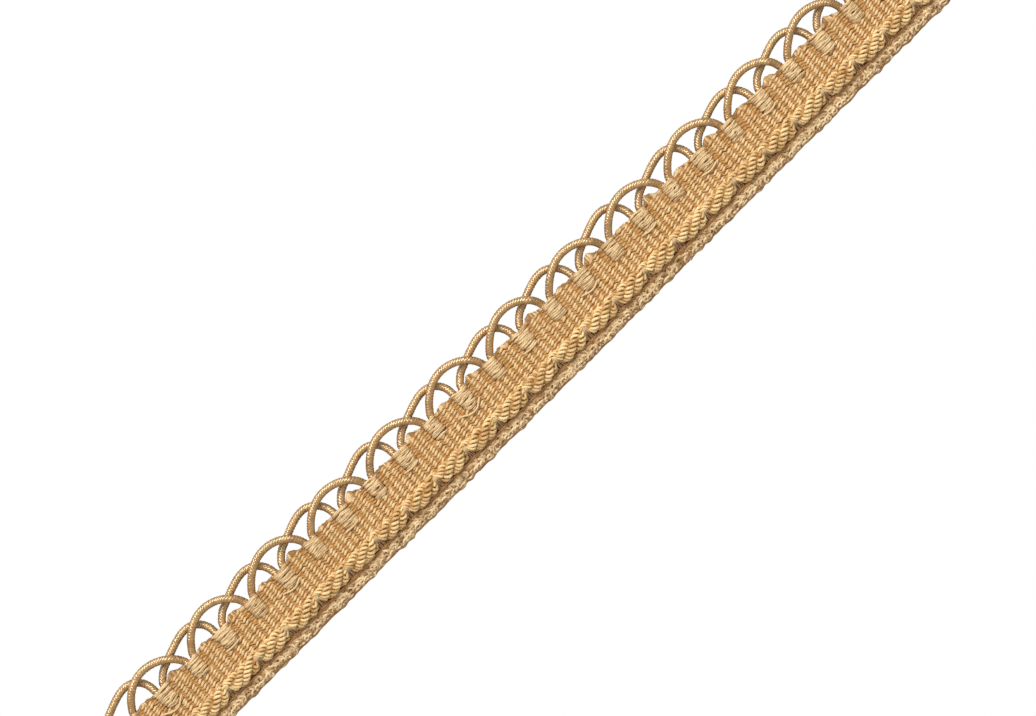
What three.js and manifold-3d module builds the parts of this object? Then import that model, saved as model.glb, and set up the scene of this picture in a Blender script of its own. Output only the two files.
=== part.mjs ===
// A straight cut length of scalloped cord trim, 25 mm wide, of the kind sewn along cushions and curtains.
// Millimetres. +X runs along the trim, +Y points to its scalloped edge, and +Z is up from the surface that
// the trim lies on, face up. The origin is on that surface, under the middle of the trim.
import * as THREE from 'three';
import { mergeVertices } from 'three/addons/utils/BufferGeometryUtils.js';
import Module from 'manifold-3d';

// Repeat: one turn of a gimp cord, one binding over it and one puff of the rope
const PITCH = 10.5;
const REPEATS = 28;
const LENGTH = PITCH * REPEATS;
const CLEARANCE = 0.3;

// Woven ground: the ribbed heading, the thin bed under the rope, and the narrow lip
const HEADING_EDGE = 5.5;
const HEADING_FOOT = -4.1;
const HEADING_THICKNESS = 2.6;
const RIBS_PER_REPEAT = 5;
const RIB_DEPTH = 0.35;
const EDGE_TURN_SHIFT = 4.5;
const EDGE_TURN_HALF_WIDTH = 1.9;
const EDGE_TURN_HEIGHT = { back: 1.1, front: 0.5 };
const BED_THICKNESS = 0.8;
const LIP_START = -9.5;
const LIP_EDGE = -12.5;
const LIP_THICKNESS = 1.0;
const LIP_STEPS_PER_REPEAT = 6;
// Small turns of yarn along the lip's edge, placed over two repeats from a back binding
const LIP_TURNS = [
  { along: 5.2, halfWidth: 1.6, depth: 0.6 },
  { along: 8.2, halfWidth: 1.4, depth: 0.4 },
  { along: 15.6, halfWidth: 1.8, depth: 0.45 },
];

// Gimp: two wrapped cords, laid in turns into the heading and in arches beyond its edge
const GIMP_DIAMETER = 2.1;
const GIMP_SIDES = 6;
const TURN_LEG_SPACING = 2.4;
const TURN_FOOT = 1.5;
const TURN_STEPS = 5;
const TURN_HEIGHT = 1.55;
const LEG_TOP = 4.7;
const FRONT_ARCH_HEIGHT = 3.5;
const BACK_ARCH_HEIGHT = 1.1;
const ARCH_UNEVEN_HEIGHT = 0.05;
const ARCH_UNEVEN_LEAN = 0.06;
// An arch: along from midway between its two bindings, out from the heading's edge, and the share of
// the way from the height inside the heading to the height of the arch
const FRONT_ARCH = [
  { along: -9.1, out: 0.3, lift: 0 },
  { along: -8.1, out: 1.7, lift: 0.3 },
  { along: -6.7, out: 3.15, lift: 0.75 },
  { along: -5.0, out: 4.45, lift: 1 },
  { along: -3.2, out: 5.4, lift: 1 },
  { along: -1.0, out: 5.95, lift: 1 },
  { along: 1.2, out: 5.95, lift: 1 },
  { along: 3.4, out: 5.45, lift: 1 },
  { along: 5.4, out: 4.55, lift: 1 },
  { along: 7.1, out: 3.3, lift: 1 },
  { along: 8.3, out: 1.95, lift: 0.5 },
  { along: 9.1, out: 0.3, lift: 0 },
];
const BACK_ARCH = [
  { along: -9.1, out: 0.3, lift: 0 },
  { along: -8.1, out: 1.6, lift: 0.5 },
  { along: -6.7, out: 2.75, lift: 0.9 },
  { along: -5.0, out: 3.5, lift: 1 },
  { along: -2.6, out: 4.5, lift: 1 },
  { along: -0.2, out: 5.4, lift: 1 },
  { along: 2.4, out: 6.0, lift: 1 },
  { along: 4.6, out: 5.9, lift: 1 },
  { along: 6.3, out: 5.15, lift: 1 },
  { along: 7.6, out: 4.0, lift: 1 },
  { along: 8.4, out: 2.8, lift: 0.7 },
  { along: 8.9, out: 1.5, lift: 0.3 },
  { along: 9.1, out: 0.3, lift: 0 },
];

// Pockets in the heading, one for each turn of gimp, open at the heading's edge
const POCKET_FLOOR = 0.2;
const POCKET_ROUND_STEPS = 5;
const POCKET_FLARE_START = 4.0;
const POCKET_MOUTH_WIDTH = 6.8;
const POCKET_MOUTH_OUT = 1.6;

// Bindings: the parallel floats that hold each turn of gimp down
const BINDING_WIDTH = 5.8;
const BINDING_FOOT = 0.1;
const BINDING_TOP = 5.4;
const BINDING_FLOATS = 7;
const BINDING_EDGE_THICKNESS = 0.35;
const BINDING_CROWN = 0.45;
const FLOAT_RELIEF = 0.3;
const BINDING_NARROWING = 0.28;

// Rope: three thick strands of yarn laid together, somewhat flat, and tied down once in each repeat
const ROPE_CENTRE = -6.85;
const ROPE_WIDTH = 4.9;
const ROPE_HEIGHT = 3.2;
const ROPE_SIDES = 10;
const ROPE_STRANDS = 3;
const ROPE_RELIEF = 0.1;
const ROPE_TWIST_PER_REPEAT = -5.6;
const ROPE_TIE_SHIFT = 1.7;
// A puff between two ties: along from a tie, and the share of the rope's full girth there
const ROPE_PUFF = [
  { along: 0, girth: 0.72 },
  { along: 1.3, girth: 0.92 },
  { along: 2.8, girth: 0.98 },
  { along: 4.4, girth: 1 },
  { along: 6.0, girth: 1 },
  { along: 7.6, girth: 0.99 },
  { along: 9.2, girth: 0.93 },
];

const COLOURS = {
  ground: 0xc49355,
  gimp: 0xcfa368,
  binding: 0xe6cd9a,
  rope: 0xe9cc88,
};

const wasm = await Module();
wasm.setup();

function toSolid(geometry) {
  const plain = geometry.clone();
  plain.deleteAttribute('normal');
  plain.deleteAttribute('uv');
  const merged = mergeVertices(plain, 1e-4);
  return new wasm.Manifold(new wasm.Mesh({
    numProp: 3,
    vertProperties: new Float32Array(merged.attributes.position.array),
    triVerts: new Uint32Array(merged.index.array),
  }));
}

function toGeometry(solid) {
  const mesh = solid.getMesh();
  const geometry = new THREE.BufferGeometry();
  geometry.setAttribute('position', new THREE.BufferAttribute(mesh.vertProperties, mesh.numProp));
  geometry.setIndex(new THREE.BufferAttribute(mesh.triVerts, 1));
  geometry.computeVertexNormals();
  return geometry;
}

function clothMaterial(colour) {
  return new THREE.MeshStandardMaterial({ color: colour, roughness: 0.85, metalness: 0 });
}

// The middle of a binding, counted from 0 at the trim's left end
function bindingX(number) {
  return (number + 0.5) * PITCH - LENGTH / 2;
}

function isFront(number) {
  return number % 2 === 1;
}

// A repeatable unevenness between -1 and 1 for hand-laid turns
function uneven(number, phase) {
  return Math.sin(number * 2.4 + phase);
}

// A smooth swelling of height 1, which dies out at halfWidth from its middle
function swelling(distance, halfWidth) {
  const share = Math.min(Math.abs(distance) / halfWidth, 1);
  return (1 + Math.cos(Math.PI * share)) / 2;
}

// How far the heading's edge stands out where its weft turns back beside each binding
function edgeTurn(x) {
  const number = Math.floor((x - EDGE_TURN_SHIFT + LENGTH / 2) / PITCH);
  const height = isFront(number) ? EDGE_TURN_HEIGHT.front : EDGE_TURN_HEIGHT.back;
  return height * swelling(x - bindingX(number) - EDGE_TURN_SHIFT, EDGE_TURN_HALF_WIDTH);
}

// How far a rib's face lies below its crest: ribs crest at each binding's middle and evenly between
function ribFall(x) {
  const ribs = (x - bindingX(0)) / (PITCH / RIBS_PER_REPEAT);
  return RIB_DEPTH * (1 - Math.cos(2 * Math.PI * ribs)) / 2;
}

function headingGeometry() {
  const depth = HEADING_EDGE - HEADING_FOOT;
  const steps = REPEATS * RIBS_PER_REPEAT * 2;
  const geometry = new THREE.BoxGeometry(LENGTH, depth, HEADING_THICKNESS, steps, 1, 1);
  geometry.translate(0, HEADING_FOOT + depth / 2, HEADING_THICKNESS / 2);
  const points = geometry.attributes.position;
  for (let i = 0; i < points.count; i += 1) {
    const x = points.getX(i);
    if (points.getZ(i) > HEADING_THICKNESS / 2) {
      points.setZ(i, HEADING_THICKNESS - ribFall(x));
    }
    if (points.getY(i) > HEADING_FOOT + depth / 2) {
      points.setY(i, HEADING_EDGE + edgeTurn(x));
    }
  }
  return geometry;
}

// The bed reaches a little under the heading and the lip, which it joins
function bedGeometry() {
  const depth = HEADING_FOOT - LIP_START + 2 * CLEARANCE;
  const geometry = new THREE.BoxGeometry(LENGTH, depth, BED_THICKNESS);
  geometry.translate(0, LIP_START - CLEARANCE + depth / 2, BED_THICKNESS / 2);
  return geometry;
}

function lipEdge(x) {
  const first = bindingX(0);
  const span = 2 * PITCH;
  const place = ((x - first) % span + span) % span;
  let edge = LIP_EDGE;
  for (const turn of LIP_TURNS) {
    edge -= turn.depth * swelling(place - turn.along, turn.halfWidth);
  }
  return edge;
}

function lipGeometry() {
  const shape = new THREE.Shape();
  const steps = REPEATS * LIP_STEPS_PER_REPEAT;
  shape.moveTo(LENGTH / 2, LIP_START);
  shape.lineTo(-LENGTH / 2, LIP_START);
  for (let step = 0; step <= steps; step += 1) {
    const x = (step / steps - 0.5) * LENGTH;
    shape.lineTo(x, lipEdge(x));
  }
  return new THREE.ExtrudeGeometry(shape, { depth: LIP_THICKNESS, bevelEnabled: false });
}

// The room of one turn of gimp: round at its foot, with a flared mouth at the heading's edge
function pocketGeometry(x) {
  const radius = (TURN_LEG_SPACING + GIMP_DIAMETER) / 2 + CLEARANCE;
  const centre = TURN_FOOT + TURN_LEG_SPACING / 2;
  const mouth = HEADING_EDGE + POCKET_MOUTH_OUT;
  const shape = new THREE.Shape();
  shape.moveTo(x + POCKET_MOUTH_WIDTH / 2, mouth);
  shape.lineTo(x - POCKET_MOUTH_WIDTH / 2, mouth);
  shape.lineTo(x - radius, POCKET_FLARE_START);
  shape.lineTo(x - radius, centre);
  shape.absarc(x, centre, radius, Math.PI, 2 * Math.PI, false);
  shape.lineTo(x + radius, POCKET_FLARE_START);
  const geometry = new THREE.ExtrudeGeometry(shape, {
    depth: HEADING_THICKNESS,
    bevelEnabled: false,
    curveSegments: POCKET_ROUND_STEPS,
  });
  geometry.translate(0, 0, POCKET_FLOOR);
  return geometry;
}

function groundMesh() {
  let solid = toSolid(headingGeometry()).add(toSolid(bedGeometry())).add(toSolid(lipGeometry()));
  for (let number = 0; number < REPEATS; number += 1) {
    solid = solid.subtract(toSolid(pocketGeometry(bindingX(number))));
  }
  const mesh = new THREE.Mesh(toGeometry(solid), clothMaterial(COLOURS.ground));
  mesh.name = 'ground';
  return mesh;
}

// A smooth line whose steps fall on its own points, so that tight turns keep their shape
class StitchedCurve extends THREE.CatmullRomCurve3 {
  getPointAt(share, target) {
    return this.getPoint(share, target);
  }

  getTangentAt(share, target) {
    return this.getTangent(share, target);
  }
}

// One turn inside the heading, from the foot of its left leg to the foot of its right leg
function turnPoints(x) {
  const radius = TURN_LEG_SPACING / 2;
  const points = [];
  for (let step = 0; step <= TURN_STEPS; step += 1) {
    const angle = Math.PI * (1 + step / TURN_STEPS);
    const y = TURN_FOOT + radius + radius * Math.sin(angle);
    points.push(new THREE.Vector3(x + radius * Math.cos(angle), y, TURN_HEIGHT));
  }
  return points;
}

// One arch beyond the heading's edge, with the straight legs at both its ends
function archPoints(number, table, height) {
  const middle = bindingX(number + 1);
  const reach = PITCH - TURN_LEG_SPACING / 2;
  const points = [new THREE.Vector3(middle - reach, LEG_TOP, TURN_HEIGHT)];
  for (const row of table) {
    const out = row.out * (1 + ARCH_UNEVEN_HEIGHT * uneven(number, 0.7));
    const lean = row.out * ARCH_UNEVEN_LEAN * uneven(number, 2.1);
    const z = TURN_HEIGHT + (height - TURN_HEIGHT) * row.lift;
    points.push(new THREE.Vector3(middle + row.along + lean, HEADING_EDGE + out, z));
  }
  points.push(new THREE.Vector3(middle + reach, LEG_TOP, TURN_HEIGHT));
  return points;
}

// A gimp cord turns in every second binding, and arches over the binding between
function gimpMesh(name, first, table, height) {
  const points = [];
  for (let number = first; number < REPEATS; number += 2) {
    points.push(...turnPoints(bindingX(number)));
    if (number + 2 < REPEATS) {
      points.push(...archPoints(number, table, height));
    }
  }
  const section = new THREE.Shape();
  for (let side = 0; side < GIMP_SIDES; side += 1) {
    const angle = 2 * Math.PI * side / GIMP_SIDES;
    const corner = [GIMP_DIAMETER / 2 * Math.cos(angle), GIMP_DIAMETER / 2 * Math.sin(angle)];
    if (side === 0) {
      section.moveTo(...corner);
    } else {
      section.lineTo(...corner);
    }
  }
  const geometry = new THREE.ExtrudeGeometry(section, {
    steps: points.length - 1,
    extrudePath: new StitchedCurve(points),
  });
  const mesh = new THREE.Mesh(geometry, clothMaterial(COLOURS.gimp));
  mesh.name = name;
  return mesh;
}

// A binding's side outline, seen along the trim: a flat underside and a crest for each float
function bindingProfile() {
  const shape = new THREE.Shape();
  const steps = BINDING_FLOATS * 2;
  shape.moveTo(BINDING_FOOT, 0);
  shape.lineTo(BINDING_TOP, 0);
  for (let step = steps; step >= 0; step -= 1) {
    const y = BINDING_FOOT + (BINDING_TOP - BINDING_FOOT) * step / steps;
    const crest = step % 2 === 1 ? FLOAT_RELIEF : 0;
    shape.lineTo(y, BINDING_EDGE_THICKNESS + crest);
  }
  return shape;
}

// Crowned across the turn of gimp that it covers, and narrower towards its foot
function bindingMesh(number) {
  const geometry = new THREE.ExtrudeGeometry(bindingProfile(), { depth: 2, steps: 2, bevelEnabled: false });
  geometry.translate(0, 0, -1);
  const alongTrim = new THREE.Vector3(1, 0, 0);
  const acrossTrim = new THREE.Vector3(0, 1, 0);
  const up = new THREE.Vector3(0, 0, 1);
  geometry.applyMatrix4(new THREE.Matrix4().makeBasis(acrossTrim, up, alongTrim));
  const points = geometry.attributes.position;
  for (let i = 0; i < points.count; i += 1) {
    const side = points.getX(i);
    const down = (BINDING_TOP - points.getY(i)) / (BINDING_TOP - BINDING_FOOT);
    const width = BINDING_WIDTH * (1 - BINDING_NARROWING * down ** 3);
    points.setX(i, side * width / 2);
    if (points.getZ(i) > 0) {
      points.setZ(i, points.getZ(i) + BINDING_CROWN * (1 - Math.abs(side)));
    }
  }
  const mesh = new THREE.Mesh(geometry, clothMaterial(COLOURS.binding));
  mesh.name = `binding_${String(number + 1).padStart(2, '0')}`;
  mesh.position.set(bindingX(number), 0, HEADING_THICKNESS + CLEARANCE);
  return mesh;
}

// The rope's girth from end to end, as points of a lathe outline that closes on its axis
function ropeOutline() {
  const end = LENGTH / 2;
  const outline = [new THREE.Vector2(0, -end), new THREE.Vector2(1, -end)];
  for (let number = -1; number < REPEATS; number += 1) {
    for (const row of ROPE_PUFF) {
      const along = bindingX(number) + ROPE_TIE_SHIFT + row.along;
      if (Math.abs(along) < end - 1) {
        outline.push(new THREE.Vector2(row.girth, along));
      }
    }
  }
  outline.push(new THREE.Vector2(1, end), new THREE.Vector2(0, end));
  return outline;
}

// The lathe's round is turned along the trim, ridged in strands that wind round it, and pressed to an
// oval, and where a tie draws it in, it stays down on the bed and close to the heading
function ropeMesh() {
  const geometry = new THREE.LatheGeometry(ropeOutline(), ROPE_SIDES);
  geometry.rotateZ(-Math.PI / 2);
  const halfWidth = ROPE_WIDTH / 2 / (1 + ROPE_RELIEF);
  const halfHeight = ROPE_HEIGHT / 2 / (1 + ROPE_RELIEF);
  const points = geometry.attributes.position;
  for (let i = 0; i < points.count; i += 1) {
    const x = points.getX(i);
    const girth = Math.hypot(points.getY(i), points.getZ(i));
    const angle = Math.atan2(points.getZ(i), points.getY(i));
    const wound = ROPE_TWIST_PER_REPEAT * x / PITCH;
    const strand = 1 + ROPE_RELIEF * Math.cos(ROPE_STRANDS * (angle - wound));
    const drawnIn = girth > 0 ? 1 - girth : 0;
    const y = ROPE_CENTRE + drawnIn * halfWidth / 2 + halfWidth * girth * strand * Math.cos(angle);
    const middle = BED_THICKNESS + CLEARANCE + ROPE_HEIGHT / 2 - drawnIn * ROPE_HEIGHT / 2;
    points.setY(i, y);
    points.setZ(i, middle + halfHeight * girth * strand * Math.sin(angle));
  }
  const mesh = new THREE.Mesh(geometry, clothMaterial(COLOURS.rope));
  mesh.name = 'rope';
  return mesh;
}

const trim = new THREE.Group();
trim.add(groundMesh());
trim.add(gimpMesh('gimp_back', 0, BACK_ARCH, BACK_ARCH_HEIGHT));
trim.add(gimpMesh('gimp_front', 1, FRONT_ARCH, FRONT_ARCH_HEIGHT));
for (let number = 0; number < REPEATS; number += 1) {
  trim.add(bindingMesh(number));
}
trim.add(ropeMesh());

export default trim;
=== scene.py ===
"""A cut length of scalloped cord trim, lying face up: heading, gimp arches, tied rope and sewing lip."""
import math
from functools import cache
from random import Random

import bmesh
import bpy
from mathutils import Matrix, Vector, noise


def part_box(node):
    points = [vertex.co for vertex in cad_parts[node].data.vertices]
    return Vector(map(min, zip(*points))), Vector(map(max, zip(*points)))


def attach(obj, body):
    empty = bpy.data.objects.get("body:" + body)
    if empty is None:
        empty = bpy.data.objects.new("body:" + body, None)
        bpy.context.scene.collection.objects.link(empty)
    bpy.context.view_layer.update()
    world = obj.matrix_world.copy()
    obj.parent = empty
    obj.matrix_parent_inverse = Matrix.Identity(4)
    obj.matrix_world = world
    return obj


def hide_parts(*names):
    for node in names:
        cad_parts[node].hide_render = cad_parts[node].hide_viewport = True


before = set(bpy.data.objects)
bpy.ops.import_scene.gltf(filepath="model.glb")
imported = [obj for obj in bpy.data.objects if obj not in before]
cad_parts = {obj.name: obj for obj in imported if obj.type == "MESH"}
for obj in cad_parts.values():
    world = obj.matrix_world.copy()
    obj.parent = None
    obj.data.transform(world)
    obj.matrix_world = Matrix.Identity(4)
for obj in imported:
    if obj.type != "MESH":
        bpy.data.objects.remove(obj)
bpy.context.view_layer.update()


# Camera: the trim is seen from straight above through a long lens, turned an eighth of a turn, so that
# it runs from the lower left to the upper right and leaves the picture at both ends. All sizes in this
# script are in millimetres.
MM = 0.001
LENS = 100.0
SENSOR_WIDTH = 36.0
VIEW_WIDTH = 259.1
VIEW_MIDDLE = (0.74, 0.53)
VIEW_TURN = -45.0
NEAREST_SEEN = 10.0

camera_data = bpy.data.cameras.new("camera")
camera_data.lens = LENS
camera_data.sensor_width = SENSOR_WIDTH
camera_data.clip_start = NEAREST_SEEN * MM
camera = bpy.data.objects.new("camera", camera_data)
camera.location = (VIEW_MIDDLE[0] * MM, VIEW_MIDDLE[1] * MM, VIEW_WIDTH * LENS / SENSOR_WIDTH * MM)
camera.rotation_euler = (0, 0, math.radians(VIEW_TURN))
bpy.context.scene.collection.objects.link(camera)
bpy.context.scene.camera = camera
bpy.context.scene.view_settings.view_transform = "Standard"


# Floor and light: a table under one soft lamp, which stands off the scalloped edge, in an even room, so
# that every yarn is bright towards the scallops and shaded towards the lip. The camera sees the table as
# plain white without a shadow, and on the trim it throws back light as grey paper does.
FLOOR_SIZE = 4000.0
FLOOR_DROP = 0.05
FLOOR_GREY = 0.5
FLOOR_ROUGHNESS = 0.9
LAMP_PLACE = (60.0, 700.0, 780.0)
LAMP_SIZE = 800.0
LAMP_POWER = 13.0
ROOM_LIGHT = 0.51

bpy.ops.mesh.primitive_plane_add(size=FLOOR_SIZE * MM, location=(0, 0, -FLOOR_DROP * MM))
floor = bpy.context.object
floor.name = "floor"
table = bpy.data.materials.new("white_table")
table.use_nodes = True
table_nodes = table.node_tree.nodes
table_links = table.node_tree.links
grey_paper = table_nodes["Principled BSDF"]
grey_paper.inputs["Base Color"].default_value = (FLOOR_GREY, FLOOR_GREY, FLOOR_GREY, 1)
grey_paper.inputs["Roughness"].default_value = FLOOR_ROUGHNESS
plain_white = table_nodes.new("ShaderNodeEmission")
light_path = table_nodes.new("ShaderNodeLightPath")
lit_or_seen = table_nodes.new("ShaderNodeMixShader")
table_links.new(light_path.outputs["Is Camera Ray"], lit_or_seen.inputs[0])
table_links.new(grey_paper.outputs[0], lit_or_seen.inputs[1])
table_links.new(plain_white.outputs[0], lit_or_seen.inputs[2])
table_links.new(lit_or_seen.outputs[0], table_nodes["Material Output"].inputs["Surface"])
floor.data.materials.append(table)

lamp_data = bpy.data.lights.new("soft_lamp", "AREA")
lamp_data.size = LAMP_SIZE * MM
lamp_data.energy = LAMP_POWER
lamp = bpy.data.objects.new("soft_lamp", lamp_data)
lamp.location = [value * MM for value in LAMP_PLACE]
lamp.rotation_euler = (-lamp.location).to_track_quat("-Z", "Y").to_euler()
bpy.context.scene.collection.objects.link(lamp)

room = bpy.data.worlds.new("even_room")
room.use_nodes = True
backdrop = room.node_tree.nodes["Background"]
backdrop.inputs["Color"].default_value = (1, 1, 1, 1)
backdrop.inputs["Strength"].default_value = ROOM_LIGHT
bpy.context.scene.world = room


# Ground cloth: the woven body of the trim, in one piece from the scalloped edge to the lip. The heading
# is thick, with a pocket for each turn of gimp, and the bed under the rope and the lip are thin.
ground_low, ground_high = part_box("ground")
binding_nodes = sorted(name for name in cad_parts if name.startswith("binding_"))
REPEATS = len(binding_nodes)
LENGTH = (ground_high.x - ground_low.x) / MM
PITCH = LENGTH / REPEATS
HEADING_EDGE = 5.3
HEADING_FOOT = -4.6
HEADING_TOP = 1.6
BED_TOP = 0.6
LIP_EDGE = -12.2
SHOULDER = 0.5
# A peak's middle, along from its binding, and how far it reaches to either side of that
PEAK_ALONG = 4.5
PEAK_REACH = (2.2, 3.0)
PEAK_HEIGHTS = {"back": 1.25, "front": 0.5}
PEAK_UNEVENNESS = 0.2
POCKET_HALF_WIDTH = 2.5
POCKET_FOOT = 0.7
POCKET_FLOOR = 0.2
PICOT_ALONG = 5.2
PICOT_HALF_WIDTH = 1.0
PICOT_CUT = 0.85
PICOT_UNEVENNESS = 0.25
GROUND_STEPS = (420, 46)
# The cloth's own weave: ribs across the trim, with yarns that run along it over and under them
BACK_RIB_WIDTH = 2.1
BACK_YARN_PITCH = 0.84
BACK_FLECK = 0.3
BACK_FLECK_TONE = 0.6
BACK_CROSSING_PAINTED_LIGHT = 0.6
BACK_RELIEF = 0.2
BACK_ROUGHNESS = 0.85
BACK_GLOSS = 0.2
BACK_SHADE = (0.36, 0.18, 0.06, 1)
BACK_LIGHT = (0.60, 0.36, 0.15, 1)
YARN_SHEEN = (1.0, 0.86, 0.62, 1)


def binding_x(number):
    """The middle of a binding, counted from 0 at the trim's left end."""
    return (number + 0.5) * PITCH - LENGTH / 2


def cord_under(number):
    """Which gimp cord turns under a binding: the two take turns."""
    return "front" if number % 2 == 1 else "back"


def uneven(number, phase):
    """A repeatable unevenness between -1 and 1 for hand-laid turns. Each phase gives another one."""
    return math.sin(number * 2.4 + phase)


def swelling(distance, half_width):
    """A smooth swelling of height 1, which dies out at half_width from its middle."""
    share = min(abs(distance) / half_width, 1)
    return (1 + math.cos(math.pi * share)) / 2


def rise(value, low, high):
    """A smooth rise from 0 at low to 1 at high."""
    share = min(max((value - low) / (high - low), 0), 1)
    return share * share * (3 - 2 * share)


def from_back_binding(x):
    """How far x lies past the last back binding, every second one, from 0 to two repeats."""
    return (x - binding_x(0)) % (2 * PITCH)


def from_binding(x):
    """How far x lies from the nearest binding's middle."""
    return (x - binding_x(0) + PITCH / 2) % PITCH - PITCH / 2


def ground_top(x, y):
    """How high the cloth's face stands."""
    heading = rise(y, HEADING_FOOT - SHOULDER, HEADING_FOOT)
    full = BED_TOP + (HEADING_TOP - BED_TOP) * heading
    pocket = 1 - rise(abs(from_binding(x)), POCKET_HALF_WIDTH - SHOULDER, POCKET_HALF_WIDTH)
    pocket *= rise(y, POCKET_FOOT, POCKET_FOOT + SHOULDER)
    return full + (POCKET_FLOOR - full) * pocket


def heading_edge_y(x):
    """The heading's edge: its weft is pulled out in a peak beside the right leg of each turn of gimp."""
    number = math.floor((x - PEAK_ALONG - binding_x(0)) / PITCH + 0.5)
    height = PEAK_HEIGHTS[cord_under(number)] * (1 + PEAK_UNEVENNESS * uneven(number, 1.3))
    past_peak = x - binding_x(number) - PEAK_ALONG
    return HEADING_EDGE + height * swelling(past_peak, PEAK_REACH[1 if past_peak > 0 else 0])


def lip_cut(x):
    """How far the cloth is drawn back from the lip's edge behind a picot, one in every two repeats."""
    number = math.floor((x - binding_x(0)) / PITCH)
    unevenness = PICOT_UNEVENNESS * uneven(number - number % 2, 0.4)
    size = PICOT_CUT * (1 - PICOT_UNEVENNESS + unevenness)
    return size * swelling(from_back_binding(x) - PICOT_ALONG, PICOT_HALF_WIDTH)


def finished_piece(name, mesh, material, slot, *nodes):
    """Makes a mesh in millimetres into a piece of the trim, which stands for these nodes of the frame."""
    mesh.transform(Matrix.Scale(MM, 4))
    mesh.name = name
    mesh.materials.clear()
    mesh.materials.append(material)
    piece = bpy.data.objects.new(name, mesh)
    bpy.context.scene.collection.objects.link(piece)
    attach(piece, "root")
    if nodes:
        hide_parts(*nodes)
    return piece


def plug(tree, value, socket):
    """Links an output to a socket, or sets the socket's own value."""
    if isinstance(value, bpy.types.NodeSocket):
        tree.links.new(value, socket)
    else:
        socket.default_value = value


def maths(tree, operation, *values):
    """The output of a Math node, whose inputs are these outputs or numbers."""
    node = tree.nodes.new("ShaderNodeMath")
    node.operation = operation
    for value, socket in zip(values, node.inputs):
        plug(tree, value, socket)
    return node.outputs[0]


def blend_colours(tree, share, dark, light):
    """A colour from dark at a share of 0 to light at 1."""
    node = tree.nodes.new("ShaderNodeMix")
    node.data_type = "RGBA"
    plug(tree, share, node.inputs[0])
    plug(tree, dark, node.inputs[6])
    plug(tree, light, node.inputs[7])
    return node.outputs[2]


def flecks(tree, size):
    """Even noise between 0 and 1 on the piece itself, in flecks of this many millimetres."""
    place = tree.nodes.new("ShaderNodeTexCoord").outputs["Object"]
    texture = tree.nodes.new("ShaderNodeTexNoise")
    plug(tree, place, texture.inputs["Vector"])
    texture.inputs["Scale"].default_value = 1 / (size * MM)
    texture.inputs["Detail"].default_value = 2
    return texture.outputs[0]


def yarn_finish(name, roughness, gloss, index=1.5, sheen=YARN_SHEEN):
    """A soft, slightly silky cloth shader, with its tree, its shader and its bump ready to be linked."""
    material = bpy.data.materials.new(name)
    material.use_nodes = True
    tree = material.node_tree
    shader = tree.nodes["Principled BSDF"]
    shader.inputs["Roughness"].default_value = roughness
    shader.inputs["Specular IOR Level"].default_value = gloss
    shader.inputs["IOR"].default_value = index
    shader.inputs["Specular Tint"].default_value = sheen
    bump = tree.nodes.new("ShaderNodeBump")
    tree.links.new(bump.outputs["Normal"], shader.inputs["Normal"])
    return material, tree, shader, bump


def plain_weave_finish():
    """The plain weave of the cloth itself, as on its back, with painted light where a yarn crosses over
    another and painted shade where it goes under.
    """
    material, tree, shader, bump = yarn_finish("ground_weave", BACK_ROUGHNESS, BACK_GLOSS)
    place = tree.nodes.new("ShaderNodeSeparateXYZ")
    plug(tree, tree.nodes.new("ShaderNodeTexCoord").outputs["Object"], place.inputs[0])
    rib_angle = maths(tree, "MULTIPLY", place.outputs[0], math.pi / (BACK_RIB_WIDTH * MM))
    yarn_angle = maths(tree, "MULTIPLY", place.outputs[1], 2 * math.pi / (BACK_YARN_PITCH * MM))
    rib_wave = maths(tree, "COSINE", rib_angle)
    yarn_wave = maths(tree, "COSINE", yarn_angle)
    weave = maths(tree, "MULTIPLY_ADD", maths(tree, "MULTIPLY", rib_wave, yarn_wave), 0.5, 0.5)
    # Painted light on the crossings where a yarn lies over another, and painted shade where it lies under
    painted_crossing_light = maths(tree, "MULTIPLY", weave, BACK_CROSSING_PAINTED_LIGHT)
    speckled = maths(tree, "MULTIPLY_ADD", flecks(tree, BACK_FLECK), BACK_FLECK_TONE, painted_crossing_light)
    plug(tree, blend_colours(tree, speckled, BACK_SHADE, BACK_LIGHT), shader.inputs["Base Color"])
    bump.inputs["Distance"].default_value = BACK_RELIEF * MM
    plug(tree, weave, bump.inputs["Height"])
    return material


cloth = bmesh.new()
bmesh.ops.create_grid(cloth, x_segments=GROUND_STEPS[0], y_segments=GROUND_STEPS[1], size=0.5)
for vertex in cloth.verts:
    x = vertex.co.x * LENGTH
    across = vertex.co.y + 0.5
    low_edge = LIP_EDGE + lip_cut(x)
    y = low_edge + across * (heading_edge_y(x) - low_edge)
    vertex.co = (x, y, ground_top(x, y))
under = bmesh.ops.extrude_face_region(cloth, geom=cloth.faces[:])
for part in under["geom"]:
    if isinstance(part, bmesh.types.BMVert):
        part.co.z = 0
bmesh.ops.recalc_face_normals(cloth, faces=cloth.faces[:])
cloth_mesh = bpy.data.meshes.new("ground_cloth")
cloth.to_mesh(cloth_mesh)
cloth.free()
ground_cloth = finished_piece("ground_cloth", cloth_mesh, plain_weave_finish(), "ground_yarn", "ground")


# Heading warps: golden yarn that runs along the trim, over one rib of weft and under the next, so that
# its floats stand in slanting dashes. Beside each binding the upper yarns slope down to the gimp.
RIBS_PER_REPEAT = 5
RIB = PITCH / RIBS_PER_REPEAT
# Row 0 is the lowest that shows, and the row before it lies under the rope's edge
WARP_ROWS = range(-1, 24)
LOWEST_WARP = -4.75
WARP_PITCH = 0.42
WARP_RADIUS = 0.255
WARP_SWELL = 0.12
WARP_LEVEL = 1.92
WARP_CREST = 0.3
WARP_TROUGH = 0.1
WARP_SLANT = 0.2
WARP_STEPS_PER_RIB = 6
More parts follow.
